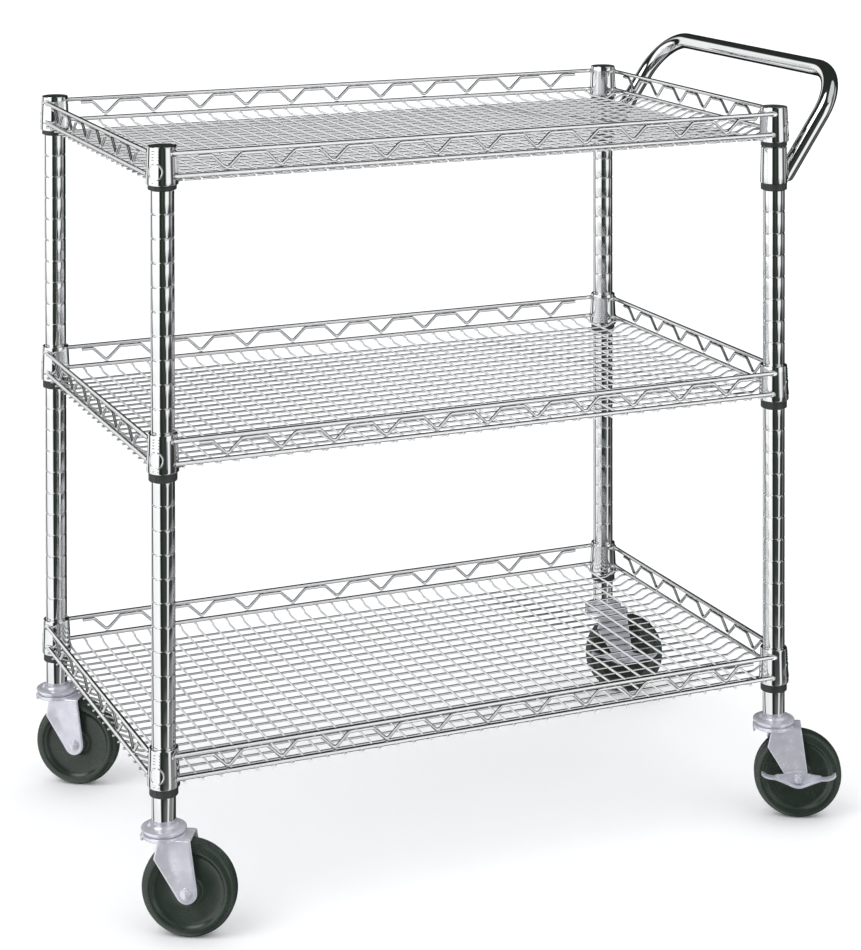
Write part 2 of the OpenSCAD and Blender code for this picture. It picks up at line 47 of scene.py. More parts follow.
# ------------------------------------------------------------------ sizes, mm, as in the CAD source
PX, PY = 740.0, 434.0
POST_R, POST_WALL, PITCH, G_DEPTH, G_W = 12.7, 1.25, 25.4, 0.6, 2.2
BOTTOM = 147.0
MID = BOTTOM + 13 * PITCH
TOP = MID + 12 * PITCH
HANDLE_LV = TOP - 2 * PITCH
SEAT = {"bottom": 9.0, "middle": 9.0, "top": 5.0}
LEVEL = {"bottom": BOTTOM, "middle": MID, "top": TOP}
COLLAR_H, RIM_OUT, RIM_LOW, RIM_GAP = 40.5, 12.5, 9.2, 24.0
RR, TR, DR = 2.4, 1.8, 1.3
TOUCH, RUN = 0.02, 0.05
SLEEVE_H = 43.0
POST_FOOT, POST_HEAD = 118.0, TOP + 5 + COLLAR_H - 2
TRAIL, WR, WW, AXLE_R = 27.5, 50.5, 22.5, 4.0
LEG_IN, LEG_T = 15.6, 2.6
LEG_OUT = LEG_IN + LEG_T
H_R, H_TILT, H_REACH, H_BEND, ARM_X, ARM_DROP = 10.0, 55.0, 141.5, 57.0, 14.8, 36.6
LEVER_W = 10.0
POSTS = {"front_left": (0, 0, 225), "front_right": (PX, 0, 315), "rear_left": (0, PY, 135), "rear_right": (PX, PY, 45)}
SWIVEL = {"front_left": -30, "rear_left": -34, "front_right": -29, "rear_right": -28}
MX = (PX + ARM_X + H_REACH * math.cos(math.radians(H_TILT)) + H_R - (20 * math.cos(math.radians(30)) + 6 * math.sin(math.radians(30)) + 4)) / 2
MY = (PY + 24 + (TRAIL + 43) * math.sin(math.radians(-29)) - (LEG_OUT + LEVER_W + 0.3) * math.cos(math.radians(-29))) / 2
WELD_Z = RIM_LOW - RR - DR - TOUCH
CROSS_Z = WELD_Z - 3
LONG_Z = CROSS_Z - 2 * DR - TOUCH
EDGE = 18.6
CROSS_P, LONG_P = (PX - 2 * EDGE) / 35, (PY - 2 * EDGE) / 20
rng = np.random.RandomState(7)


def sleeve_r(z):
    return 15.0 - 1.1 * z / SLEEVE_H


def collar_r(z):
    return 17.25 - 1.1 * z / 26 if z < 26 else 16.15 - 0.65 * (z - 26) / (COLLAR_H - 26)


def hc_r(z):
    return 15.9 - 0.9 * z / 41.5


# ------------------------------------------------------------------ mesh tools
def T(x=0, y=0, z=0):
    m = np.eye(4)
    m[:3, 3] = (x, y, z)
    return m


def R(axis, deg):
    a = math.radians(deg)
    c, s = math.cos(a), math.sin(a)
    m = np.eye(4)
    i, j = {"x": (1, 2), "y": (2, 0), "z": (0, 1)}[axis]
    m[i, i], m[i, j], m[j, i], m[j, j] = c, -s, s, c
    return m


PLACE = T(-MX, -MY, 0)


def at_post(k, z=0, turn=0):
    x, y, _ = POSTS[k]
    return T(x, y, z) @ R("z", turn)


def at_caster(k):
    x, y, _ = POSTS[k]
    return T(x, y, 0) @ R("z", SWIVEL[k])


def at_axle(k):
    return at_caster(k) @ T(TRAIL, 0, WR) @ R("x", 90)


class Shape:
    def __init__(self):
        self.v, self.f, self.n = [], [], 0

    def add(self, verts, faces, M=None):
        p = np.asarray(verts, float).reshape(-1, 3)
        if M is not None:
            p = p @ M[:3, :3].T + M[:3, 3]
        b = self.n
        self.v.append(p)
        self.f.extend([tuple(b + i for i in q) for q in faces])
        self.n += len(p)

    def rings(self, rr, M=None, caps=(True, True), closed=False):
        """a tube through rings of equal length"""
        rr = np.asarray(rr, float)
        k, n = rr.shape[:2]
        f = []
        for i in range(k if closed else k - 1):
            a, b = i * n, ((i + 1) % k) * n
            for j in range(n):
                q = (j + 1) % n
                f.append((a + j, a + q, b + q, b + j))
        if not closed:
            if caps[0]:
                f.append(tuple(range(n - 1, -1, -1)))
            if caps[1]:
                f.append(tuple((k - 1) * n + j for j in range(n)))
        self.add(rr.reshape(-1, 3), f, M)

    def lathe(self, prof, n=64, M=None, closed=True):
        """turn a profile of (radius, height) about Z; a radius of 0 makes a pole"""
        pts, idx, f = [], [], []
        c = np.cos(np.arange(n) * 2 * math.pi / n)
        s = np.sin(np.arange(n) * 2 * math.pi / n)
        for r, z in prof:
            if r < 1e-6:
                idx.append((len(pts), 1))
                pts.append((0, 0, z))
            else:
                idx.append((len(pts), n))
                pts.extend(zip(r * c, r * s, [z] * n))
        pairs = list(zip(idx, idx[1:])) + ([(idx[-1], idx[0])] if closed else [])
        for (a, na), (b, nb) in pairs:
            for j in range(n):
                q = (j + 1) % n
                if na == n and nb == n:
                    f.append((a + j, a + q, b + q, b + j))
                elif na == n:
                    f.append((a + j, a + q, b))
                elif nb == n:
                    f.append((a, b + q, b + j))
        self.add(pts, f, M)

    def sweep(self, path, r, n=12, M=None, side=(0, 1, 0), cut=0.25):
        """round wire along a flat path; side is the normal of the path's plane"""
        p = np.asarray(path, float)
        t = np.gradient(p, axis=0)
        t[0], t[-1] = p[1] - p[0], p[-1] - p[-2]
        t /= np.linalg.norm(t, axis=1)[:, None]
        b = np.asarray(side, float)
        u = np.cross(b, t)
        a = np.arange(n) * 2 * math.pi / n
        ring = lambda o, i, rad: o + rad * (np.outer(np.cos(a), u[i]) + np.outer(np.sin(a), np.tile(b, 1)))
        rr = []
        if cut:
            rr += [ring(p[0], 0, r - cut), ring(p[0] + t[0] * cut, 0, r)]
        else:
            rr.append(ring(p[0], 0, r))
        rr += [ring(p[i], i, r) for i in range(1, len(p) - 1)]
        if cut:
            rr += [ring(p[-1] - t[-1] * cut, -1, r), ring(p[-1], -1, r - cut)]
        else:
            rr.append(ring(p[-1], -1, r))
        self.rings(rr, M)

    def prism(self, outline, z0, z1, b=0.3, M=None, steps=2):
        """straight-sided plate with rounded edges"""
        o = np.asarray(outline, float)
        if ((o[:, 0] * np.roll(o[:, 1], -1) - np.roll(o[:, 0], -1) * o[:, 1]).sum()) < 0:
            o = o[::-1]
        d = np.roll(o, -1, 0) - o
        d /= np.linalg.norm(d, axis=1)[:, None]
        nrm = np.stack([d[:, 1], -d[:, 0]], 1)
        prev = np.roll(nrm, 1, 0)
        m = nrm + prev
        m /= np.maximum((m * nrm).sum(1), 0.35)[:, None]
        lay = []
        for i in range(steps + 1):
            q = math.pi / 2 * i / steps
            lay.append((b * (1 - math.sin(q)), z0 + b * (1 - math.cos(q))))
        lay = lay + [(c, z0 + z1 - z) for c, z in lay[::-1]]
        self.rings([np.column_stack([o - m * c, np.full(len(o), z)]) for c, z in lay], M)

    def blob(self, c, rad, M=None, n=10, k=6, rough=0.0):
        """small closed ellipsoid, used for weld nuggets"""
        pts, f = [(c[0], c[1], c[2] - rad[2])], []
        for i in range(1, k):
            q = math.pi * i / k - math.pi / 2
            for j in range(n):
                a = 2 * math.pi * j / n
                w = 1 + rough * (rng.rand() - 0.5)
                pts.append((c[0] + w * rad[0] * math.cos(q) * math.cos(a), c[1] + w * rad[1] * math.cos(q) * math.sin(a), c[2] + rad[2] * math.sin(q)))
        pts.append((c[0], c[1], c[2] + rad[2]))
        for j in range(n):
            q = (j + 1) % n
            f.append((0, 1 + q, 1 + j))
            for i in range(k - 2):
                a, b = 1 + i * n, 1 + (i + 1) * n
                f.append((a + j, a + q, b + q, b + j))
            f.append((len(pts) - 1, 1 + (k - 2) * n + j, 1 + (k - 2) * n + q))
        self.add(pts, f, M)

    def bead(self, loop, r, M=None, n=8, rough=0.35, closed=True):
        """uneven weld bead along a loop of points"""
        p = np.asarray(loop, float)
        t = np.roll(p, -1, 0) - np.roll(p, 1, 0)
        if not closed:
            t[0], t[-1] = p[1] - p[0], p[-1] - p[-2]
        t /= np.linalg.norm(t, axis=1)[:, None]
        mid = p.mean(0)
        rr = []
        w = rng.rand(len(p))
        w = (w + np.roll(w, 1) + np.roll(w, -1)) / 3
        for i in range(len(p)):
            u = p[i] - mid
            u -= t[i] * (u @ t[i])
            u /= np.linalg.norm(u)
            b = np.cross(t[i], u)
            a = np.arange(n) * 2 * math.pi / n
            rad = r * (1 + rough * (w[i] - 0.5) * 2)
            rr.append(p[i] + rad * (np.outer(np.cos(a), u) + np.outer(np.sin(a), b)))
        self.rings(rr, M, closed=closed)


def piece(name, shape, body, slot, stands_for=(), sharp=34):
    v = np.concatenate(shape.v)
    v = (v + PLACE[:3, 3]) / 1000.0
    me = bpy.data.meshes.new(name)
    me.from_pydata(v.tolist(), [], shape.f)
    bm = bmesh.new()
    bm.from_mesh(me)
    bmesh.ops.recalc_face_normals(bm, faces=bm.faces)
    bm.to_mesh(me)
    bm.free()
    me.shade_smooth()
    me.set_sharp_from_angle(angle=math.radians(sharp))
    o = bpy.data.objects.new(name, me)
    bpy.context.scene.collection.objects.link(o)
    me.materials.append(MAT[slot])
    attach(o, body)
    if stands_for:
        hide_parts(*stands_for)
    return o


# ------------------------------------------------------------------ materials
def node(nt, kind, **kw):
    n = nt.nodes.new(kind)
    for k, v in kw.items():
        if k in n.inputs:
            n.inputs[k].default_value = v
        else:
            setattr(n, k, v)
    return n


def noise(nt, scale, detail=4.0, stretch=None, rough=0.5):
    co = node(nt, "ShaderNodeTexCoord")
    src = co.outputs["Object"]
    if stretch:
        mp = node(nt, "ShaderNodeMapping")
        mp.inputs["Scale"].default_value = stretch
        nt.links.new(src, mp.inputs["Vector"])
        src = mp.outputs["Vector"]
    t = node(nt, "ShaderNodeTexNoise")
    t.inputs["Scale"].default_value = scale
    t.inputs["Detail"].default_value = detail
    t.inputs["Roughness"].default_value = rough
    nt.links.new(src, t.inputs["Vector"])
    return t.outputs["Fac"]


def ramp(nt, fac, stops, mode="LINEAR"):
    r = node(nt, "ShaderNodeValToRGB")
    r.color_ramp.interpolation = mode
    e = r.color_ramp.elements
    while len(e) > 1:
        e.remove(e[-1])
    e[0].position, e[0].color = stops[0][0], (*stops[0][1], 1) if isinstance(stops[0][1], tuple) else (stops[0][1],) * 3 + (1,)
    for p, c in stops[1:]:
        x = e.new(p)
        x.color = (*c, 1) if isinstance(c, tuple) else (c, c, c, 1)
    nt.links.new(fac, r.inputs["Fac"])
    return r.outputs["Color"]


def painted_dark_reflection(nt, share, terms):
    """painted reflection: a dark panel mirrored in a wire, painted into its colour where the outward direction meets
    every (direction, from, to), fading out towards a head-on view
    """
    geo = node(nt, "ShaderNodeNewGeometry")
    out = None
    for d, a, b in terms:
        dot = node(nt, "ShaderNodeVectorMath", operation="DOT_PRODUCT")
        nt.links.new(geo.outputs["Normal"], dot.inputs[0])
        dot.inputs[1].default_value = d
        mr = node(nt, "ShaderNodeMapRange")
        mr.inputs["From Min"].default_value, mr.inputs["From Max"].default_value = a, b
        nt.links.new(dot.outputs["Value"], mr.inputs["Value"])
        mu = node(nt, "ShaderNodeMath", operation="MULTIPLY")
        nt.links.new(mr.outputs["Result"], mu.inputs[0])
        if out is None:
            mu.inputs[1].default_value = share
        else:
            nt.links.new(out, mu.inputs[1])
        out = mu.outputs[0]
    lw = node(nt, "ShaderNodeLayerWeight")
    lw.inputs["Blend"].default_value = 0.5
    mr = node(nt, "ShaderNodeMapRange")
    mr.inputs["From Min"].default_value, mr.inputs["From Max"].default_value = 0.03, 0.12
    nt.links.new(lw.outputs["Facing"], mr.inputs["Value"])
    mu = node(nt, "ShaderNodeMath", operation="MULTIPLY")
    nt.links.new(mr.outputs["Result"], mu.inputs[0])
    nt.links.new(out, mu.inputs[1])
    return mu.outputs[0]


def surface(name, colors, rough, bump, metallic=1.0, tone=(60, 4.0, None), grain=(900, 3.0, None), grain_mix=0.5, spec=0.5, coat=0.0, edge=None, painted_reflection_lines=()):
    """procedural finish: colour and roughness vary with a slow noise, bump with a fine grain; with edge set, it also
    paints a dark rim into the colour at grazing angles (painted reflection) and paints dark lines where a wire would
    mirror dark panels (painted reflection)
    """
    m = bpy.data.materials.new(name)
    m.use_nodes = True
    nt = m.node_tree
    nt.nodes.clear()
    out = node(nt, "ShaderNodeOutputMaterial")
    bs = node(nt, "ShaderNodeBsdfPrincipled")
    bs.inputs["Metallic"].default_value = metallic
    bs.inputs["Specular IOR Level"].default_value = spec
    bs.inputs["Coat Weight"].default_value = coat
    slow = noise(nt, *tone)
    fine = noise(nt, *grain)
    tint = ramp(nt, slow, [(0.3, colors[0]), (0.7, colors[1])])
    nt.links.new(tint, bs.inputs["Base Color"])
    mx = node(nt, "ShaderNodeMix", data_type="FLOAT")
    mx.inputs[0].default_value = grain_mix
    nt.links.new(slow, mx.inputs[2])
    nt.links.new(fine, mx.inputs[3])
    mr = node(nt, "ShaderNodeMapRange")
    mr.inputs["From Min"].default_value, mr.inputs["From Max"].default_value = 0.3, 0.7
    mr.inputs["To Min"].default_value, mr.inputs["To Max"].default_value = rough
    nt.links.new(mx.outputs[0], mr.inputs["Value"])
    nt.links.new(mr.outputs["Result"], bs.inputs["Roughness"])
    bp = node(nt, "ShaderNodeBump")
    bp.inputs["Strength"].default_value = bump[0]
    bp.inputs["Distance"].default_value = bump[1]
    nt.links.new(fine, bp.inputs["Height"])
    nt.links.new(bp.outputs["Normal"], bs.inputs["Normal"])
    if edge:
        lw = node(nt, "ShaderNodeLayerWeight")
        lw.inputs["Blend"].default_value = 0.5
        er = node(nt, "ShaderNodeMapRange")
        er.inputs["From Min"].default_value, er.inputs["From Max"].default_value = edge[0], edge[1]
        er.inputs["To Min"].default_value, er.inputs["To Max"].default_value = edge[2], edge[3]
        nt.links.new(lw.outputs["Facing"], er.inputs["Value"])
        nt.links.new(er.outputs["Result"], bs.inputs["Metallic"])
        # painted reflection: the base colour darkens towards near-black at grazing angles, a dark rim painted along
        # each wire's outline
        painted_rim_shade = node(nt, "ShaderNodeMapRange")
        painted_rim_shade.inputs["From Min"].default_value, painted_rim_shade.inputs["From Max"].default_value = 0.58, 0.9
        painted_rim_shade.inputs["To Min"].default_value, painted_rim_shade.inputs["To Max"].default_value = 0.0, edge[4]
        nt.links.new(lw.outputs["Facing"], painted_rim_shade.inputs["Value"])
        mc = node(nt, "ShaderNodeMix", data_type="RGBA")
        nt.links.new(painted_rim_shade.outputs["Result"], mc.inputs[0])
        nt.links.new(tint, mc.inputs[6])
        mc.inputs[7].default_value = (0.03, 0.035, 0.03, 1)
        nt.links.new(mc.outputs[2], bs.inputs["Base Color"])
        base = mc.outputs[2]
        # painted reflection: mix the base colour towards near-black wherever each dark line's mask is on
        for share, terms in painted_reflection_lines:
            f = painted_dark_reflection(nt, share, terms)
            ml = node(nt, "ShaderNodeMix", data_type="RGBA")
            nt.links.new(f, ml.inputs[0])
            nt.links.new(base, ml.inputs[6])
            ml.inputs[7].default_value = (0.02, 0.024, 0.02, 1)
            base = ml.outputs[2]
            nt.links.new(base, bs.inputs["Base Color"])
    nt.links.new(bs.outputs["BSDF"], out.inputs["Surface"])
    return m


# normal ranges for the dark reflection lines painted on the wires: the upper side, and wires that run along X
UPPER = [((0, 0, 1), 0.58, 0.76)]
ALONG_X = [((1, 0, 0), 0.32, 0.18), ((-1, 0, 0), 0.32, 0.18)]
MAT = {
    "chrome_tube": surface("chrome_tube", [(0.86, 0.88, 0.89), (0.92, 0.93, 0.935)], (0.035, 0.10), (0.05, 0.00006),
                           tone=(22, 3.0, (1, 1, 0.35)), grain=(1500, 3.0, (0.06, 0.06, 1.6))),
    "chrome_wire": surface("chrome_wire", [(0.90, 0.905, 0.92), (0.95, 0.952, 0.96)], (0.06, 0.14), (0.06, 0.00005),
                           tone=(30, 3.0, None), grain=(1100, 3.0, None), edge=(0.02, 0.25, 0.60, 1.0, 0.6),
                           painted_reflection_lines=[(0.97, UPPER + ALONG_X)]),
    "chrome_zigzag": surface("chrome_zigzag", [(0.90, 0.905, 0.92), (0.95, 0.952, 0.96)], (0.06, 0.14), (0.06, 0.00005),
                             tone=(30, 3.0, None), grain=(1100, 3.0, None), edge=(0.02, 0.25, 0.50, 0.9, 0.3),
                             painted_reflection_lines=[(0.95, UPPER + ALONG_X), (0.95, [((-1, 0, 0), 0.22, 0.42), ((0, 0, 1), 0.12, 0.3)])]),
    "chrome_deck_long": surface("chrome_deck_long", [(0.90, 0.905, 0.92), (0.95, 0.952, 0.96)], (0.06, 0.14), (0.06, 0.00005),
                                tone=(30, 3.0, None), grain=(1100, 3.0, None), edge=(0.02, 0.25, 0.60, 1.0, 0.7),
                                painted_reflection_lines=[(0.97, [((0, 0, 1), 0.40, 0.62)] + ALONG_X)]),
    # painted highlight: the cross wires get a lighter base colour than the other chrome wires so that they read
    # brighter, with a painted dark reflection line on their +Y side
    "chrome_deck_cross": surface("chrome_deck_cross", [(0.93, 0.935, 0.945), (0.97, 0.972, 0.98)], (0.06, 0.14), (0.06, 0.00005),
                                 tone=(30, 3.0, None), grain=(1100, 3.0, None), edge=(0.02, 0.25, 0.30, 0.5, 0.25),
                                 painted_reflection_lines=[(0.7, [((0, 1, 0), 0.10, 0.35)])]),
    "black_plastic": surface("black_plastic", [(0.018, 0.024, 0.020), (0.034, 0.042, 0.036)], (0.34, 0.52), (0.12, 0.00008),
                             metallic=0.0, tone=(45, 4.0, None), grain=(1600, 2.0, None)),
    "zinc_plate": surface("zinc_plate", [(0.66, 0.665, 0.75), (0.80, 0.805, 0.86)], (0.16, 0.30), (0.14, 0.00008),
                          metallic=0.5, tone=(85, 5.0, None), grain=(1300, 3.0, None)),
    "bearing_steel": surface("bearing_steel", [(0.72, 0.73, 0.75), (0.82, 0.83, 0.84)], (0.10, 0.20), (0.06, 0.00005),
                             tone=(120, 3.0, None), grain=(1500, 2.0, None)),
    "wheel_rubber": surface("wheel_rubber", [(0.016, 0.026, 0.018), (0.028, 0.041, 0.031)], (0.20, 0.31), (0.08, 0.00010),
                            metallic=0.0, tone=(38, 5.0, None), grain=(750, 4.0, None), spec=0.6),
}
SLOT_OF = {s["node"]: s["material_slot"] for s in frame["record"]["subparts"]}
for name, o in frame["nodes"].items():
    o.data.materials.clear()
    o.data.materials.append(MAT[SLOT_OF[name]])

# ------------------------------------------------------------------ posts
def groove(z):
    w, d = G_W / 2, G_DEPTH
    return [(POST_R, z - w - 0.35), (POST_R - 0.05, z - w), (POST_R - d * 0.55, z - w * 0.62), (POST_R - d, z - w * 0.22), (POST_R - d, z + w * 0.22),
            (POST_R - d * 0.55, z + w * 0.62), (POST_R - 0.05, z + w), (POST_R, z + w + 0.35)]


post_prof = [(POST_R - POST_WALL, POST_FOOT + 0.3), (POST_R - POST_WALL + 0.3, POST_FOOT), (POST_R - 0.35, POST_FOOT), (POST_R - 0.1, POST_FOOT + 0.12), (POST_R, POST_FOOT + 0.4)]
for i in range(27):
    post_prof += groove(BOTTOM + i * PITCH)
post_prof += [(POST_R, POST_HEAD - 0.2), (POST_R - 0.2, POST_HEAD), (POST_R - POST_WALL, POST_HEAD)]
for k in POSTS:
    s = Shape()
    s.lathe(post_prof, 72, at_post(k))
    piece(f"post_{k}_tube", s, "frame", "chrome_tube", [f"post_{k}"])

# ------------------------------------------------------------------ collars with their ring boss, ribs and welds
def wrap(a0, sdist, z, h):
    """point h above a corner collar's surface, sdist along its girth from the facing direction"""
    r = collar_r(z)
    a = math.radians(a0) + sdist / r
    return ((r + h) * math.cos(a), (r + h) * math.sin(a), z)


SEC = [(-1.0, -0.25), (-0.72, 0.30), (-0.35, 0.58), (0, 0.66), (0.35, 0.58), (0.72, 0.30), (1.0, -0.25)]


def collar_boss(s, M, a0):
    rr = []
    for i in range(56):
        q = 2 * math.pi * i / 56
        rr.append([wrap(a0, (8.3 + w) * math.cos(q), 14.6 + (8.3 + w) * math.sin(q), h) for w, h in SEC])
    s.rings(rr, M, closed=True)
    for z, half in ((3.0, 3.6), (27.0, 4.6), (30.0, 4.6), (33.0, 4.6), (36.0, 4.6)):
        rr = []
        for j in range(13):
            f = -1 + 2 * j / 12
            e = math.sqrt(max(0.0, 1 - abs(f) ** 6)) * 0.75 + 0.02
            rr.append([wrap(a0, half * f, z + w * e * 0.8, h * (0.35 + 0.65 * e) if h > 0 else h) for w, h in SEC])
        s.rings(rr, M)


def collar_prof(seat):
    return [(sleeve_r(seat) + TOUCH, 0.7), (sleeve_r(seat) + 0.5, 0.15), (sleeve_r(seat) + 0.9, 0), (16.4, 0), (16.85, 0.15), (17.1, 0.5), (collar_r(1.2), 1.2),
            (collar_r(6), 6), (collar_r(14), 14), (collar_r(25), 25), (collar_r(27.5), 27.5), (collar_r(34), 34), (collar_r(COLLAR_H - 1.1), COLLAR_H - 1.1),
            (collar_r(COLLAR_H) - 0.15, COLLAR_H - 0.4), (collar_r(COLLAR_H) - 0.5, COLLAR_H - 0.08), (collar_r(COLLAR_H) - 0.9, COLLAR_H),
            (POST_R + 0.6, COLLAR_H), (POST_R + 0.35, COLLAR_H - 0.25), (POST_R + 0.35, COLLAR_H - 1.6), (sleeve_r(SLEEVE_H - 1) + TOUCH, COLLAR_H - 1.6),
            (sleeve_r(SLEEVE_H - 1) + TOUCH, SLEEVE_H - 1 - seat)]


SIDES = {  # side: (frame of (along, out, up), span)
    "front": (np.array([[1, 0, 0, 0], [0, -1, 0, 0], [0, 0, 1, 0], [0, 0, 0, 1.0]]), PX),
    "rear": (np.array([[1, 0, 0, 0], [0, 1, 0, PY], [0, 0, 1, 0], [0, 0, 0, 1.0]]), PX),
    "left": (np.array([[0, -1, 0, 0], [1, 0, 0, 0], [0, 0, 1, 0], [0, 0, 0, 1.0]]), PY),
    "right": (np.array([[0, 1, 0, PX], [1, 0, 0, 0], [0, 0, 1, 0], [0, 0, 0, 1.0]]), PY),
}


def rim_end(zc, r, n, inset):
    """where a rim wire's skin meets the collar, for each line along the wire: (distance from the post, out, up)"""
    out = []
    for j in range(n):
        a = 2 * math.pi * j / n
        t, z = RIM_OUT + r * math.sin(a), zc + r * math.cos(a)
        out.append((math.sqrt(max(0.5, (collar_r(z) - inset) ** 2 - t * t)), t, z))
    return np.array(out)


def bent(p, rb, n):
    """flat path with its corners bent to radius rb"""
    p = [np.array(q, float) for q in p]
    out = [p[0]]
    for i in range(1, len(p) - 1):
        d0, d1 = p[i] - p[i - 1], p[i + 1] - p[i]
        d0, d1 = d0 / np.linalg.norm(d0), d1 / np.linalg.norm(d1)
        h0 = math.atan2(d0[1], d0[0])
        t = math.atan2(d0[0] * d1[1] - d0[1] * d1[0], d0 @ d1)
        g = 1 if t > 0 else -1
        s = p[i] - d0 * rb * math.tan(abs(t) / 2)
        c = s + g * rb * np.array([-math.sin(h0), math.cos(h0)])
        for k in range(n + 1):
            q = h0 + t * k / n
            out.append(c + g * rb * np.array([math.sin(q), -math.cos(q)]))
    out.append(p[-1])
    return np.array(out)


TZ0, TZ1 = RIM_LOW + RR + TR + TOUCH, RIM_LOW + RIM_GAP - RR - TR - TOUCH
TP = 3 * CROSS_P
LEG = (TZ1 - TZ0) * 1.06
LV = math.floor((PX - 112) / TP)
LV0 = (PX - LV * TP) / 2 - 2
SV = math.floor((PY - 100) / TP)
SV0 = (PY - SV * TP) / 2
END = RIM_OUT + RR + 0.9


def zig(v0, n, e0, e1):
    pts = [(e0, TZ1)]
    for k in range(n):
        v = v0 + k * TP
        pts += [(v - LEG, TZ1), (v, TZ0), (v + LEG, TZ1)]
    return pts + [(e1, TZ1)]


def dip(a, b, z):
    f = 7 * (WELD_Z - z) / 3 * 0.9
    return [(a, WELD_Z), (a + 9, WELD_Z), (a + 9 + f, z), (b - 9 - f, z), (b - 9, WELD_Z), (b, WELD_Z)]


for shelf in ("bottom", "middle", "top"):
    z0 = LEVEL[shelf] + SEAT[shelf]
    body = f"{shelf}_shelf"
    up = T(0, 0, z0)
    # corner collars
    s = Shape()
    for k, (x, y, a0) in POSTS.items():
        s.lathe(collar_prof(SEAT[shelf]), 80, at_post(k, z0))
        collar_boss(s, at_post(k, z0), a0)
    piece(f"{shelf}_corner_collars", s, body, "chrome_tube", [f"{shelf}_collars"])
    # rim wires, saddle-cut to the collars, with a weld bead at each end
    s, w = Shape(), Shape()
    for M, span in SIDES.values():
        for zc in (RIM_LOW, RIM_LOW + RIM_GAP):
            e = rim_end(zc, RR, 24, 0.35)
            far = e.copy()
            far[:, 0] = span - far[:, 0]
            mid = [np.column_stack([np.full(24, q * span), e[:, 1], e[:, 2]]) for q in (0.25, 0.5, 0.75)]
            s.rings([e] + mid + [far], up @ M)
            e = rim_end(zc, RR + 0.25, 20, -0.15)
            far = e.copy()
            far[:, 0] = span - far[:, 0]
            w.bead(e, 1.15, up @ M)
            w.bead(far, 1.15, up @ M)
    piece(f"{shelf}_rims_round", s, body, "chrome_wire", [f"{shelf}_rim_wires"])
    # zigzag wires and their welds to both rim wires
    s = Shape()
    for side, (M, span) in SIDES.items():
        long = span == PX
        v0, n = (LV0, LV + 1) if long else (SV0, SV + 1)
        e0, e1 = (v0 - 31, v0 + LV * TP + 36) if long else (v0 - 30, v0 + SV * TP + 30)
        p = bent(zig(v0, n, e0, e1), 5, 7)
        path = np.column_stack([p[:, 0], np.full(len(p), RIM_OUT), p[:, 1]])
        s.sweep(path, TR, 14, up @ M, cut=0.4)
        for k in range(n):
            v = v0 + k * TP
            w.blob((v, RIM_OUT, RIM_LOW + RR + 0.15), (3.0, 1.5, 0.75), up @ M, rough=0.3)
            if k < n - 1:
                for d in (-6.5, 6.5):
                    w.blob((v + TP / 2 + d, RIM_OUT, TZ1 + TR - 0.1), (2.6, 1.4, 0.7), up @ M, rough=0.3)
    piece(f"{shelf}_zigzag_round", s, body, "chrome_zigzag", [f"{shelf}_truss_wires"])
    # deck wires
    s = Shape()
    for i in range(36):
        p = bent(dip(-END, PY + END, CROSS_Z), 6, 4)
        x = EDGE + i * CROSS_P
        s.sweep(np.column_stack([np.full(len(p), x), p[:, 0], p[:, 1]]), DR, 10, up, side=(1, 0, 0), cut=0.3)
        for y in (-RIM_OUT, PY + RIM_OUT):
            w.blob((x, y, RIM_LOW - RR - 0.1), (1.15, 2.3, 0.75), up, n=8, k=5, rough=0.3)
    piece(f"{shelf}_deck_cross_round", s, body, "chrome_deck_cross", [f"{shelf}_cross_wires"])
    s = Shape()
    for i in range(21):
        p = bent(dip(-END, PX + END, LONG_Z), 6, 4)
        y = EDGE + i * LONG_P
        s.sweep(np.column_stack([p[:, 0], np.full(len(p), y), p[:, 1]]), DR, 10, up, cut=0.3)
        for x in (-RIM_OUT, PX + RIM_OUT):
            w.blob((x, y, RIM_LOW - RR - 0.1), (2.3, 1.15, 0.75), up, n=8, k=5, rough=0.3)
    piece(f"{shelf}_deck_long_round", s, body, "chrome_deck_long", [f"{shelf}_long_wires"])
    piece(f"{shelf}_welds", w, body, "chrome_wire")

# ------------------------------------------------------------------ handle
s = Shape()
HZ = HANDLE_LV + 7.8
for k in ("front_right", "rear_right"):
    r2 = sleeve_r(SLEEVE_H - 2) + TOUCH
    s.lathe([(sleeve_r(7.8) + TOUCH, 0.1), (sleeve_r(7.8) + 0.2, 0), (15.45, 0), (15.75, 0.12), (hc_r(0.9), 0.9), (hc_r(12), 12), (hc_r(26), 26), (hc_r(40.6), 40.6),
             (14.85, 41.25), (14.5, 41.5), (POST_R + 0.6, 41.5), (POST_R + 0.35, 41.25), (POST_R + 0.35, 39.9), (r2, SLEEVE_H - 7.8), (r2, SLEEVE_H - 9.8)], 80, at_post(k, HZ))
piece("handle_corner_collars", s, "frame", "chrome_tube", ["handle_collars"])

s, w = Shape(), Shape()
L, B = H_REACH, H_BEND
path = [(-8.0, 0), (2, 0), (12, 0), (30, 0), (55, 0), (L - B - 4, 0)] + [(L - B + B * math.sin(a), B - B * math.cos(a)) for a in np.linspace(0, math.pi / 2, 19)]
path += [(L, B + 6), (L, PY / 2)]
path += [(u, PY - v) for u, v in path[-2::-1]]
p = np.array(path)
a = math.radians(H_TILT)
cen = np.column_stack([PX + ARM_X + p[:, 0] * math.cos(a), p[:, 1], TOP - ARM_DROP + p[:, 0] * math.sin(a)])
nrm = np.array([-math.sin(a), 0, math.cos(a)])
t = np.gradient(cen, axis=0)
t[0], t[-1] = cen[1] - cen[0], cen[-1] - cen[-2]
t /= np.linalg.norm(t, axis=1)[:, None]
NH = 64
FOOT_Z = HZ + 1.2
q = np.arange(NH) * 2 * math.pi / NH
rr = [cen[i] + H_R * (np.outer(np.cos(q), np.cross(nrm, t[i])) + np.outer(np.sin(q), nrm)) for i in range(len(cen))]


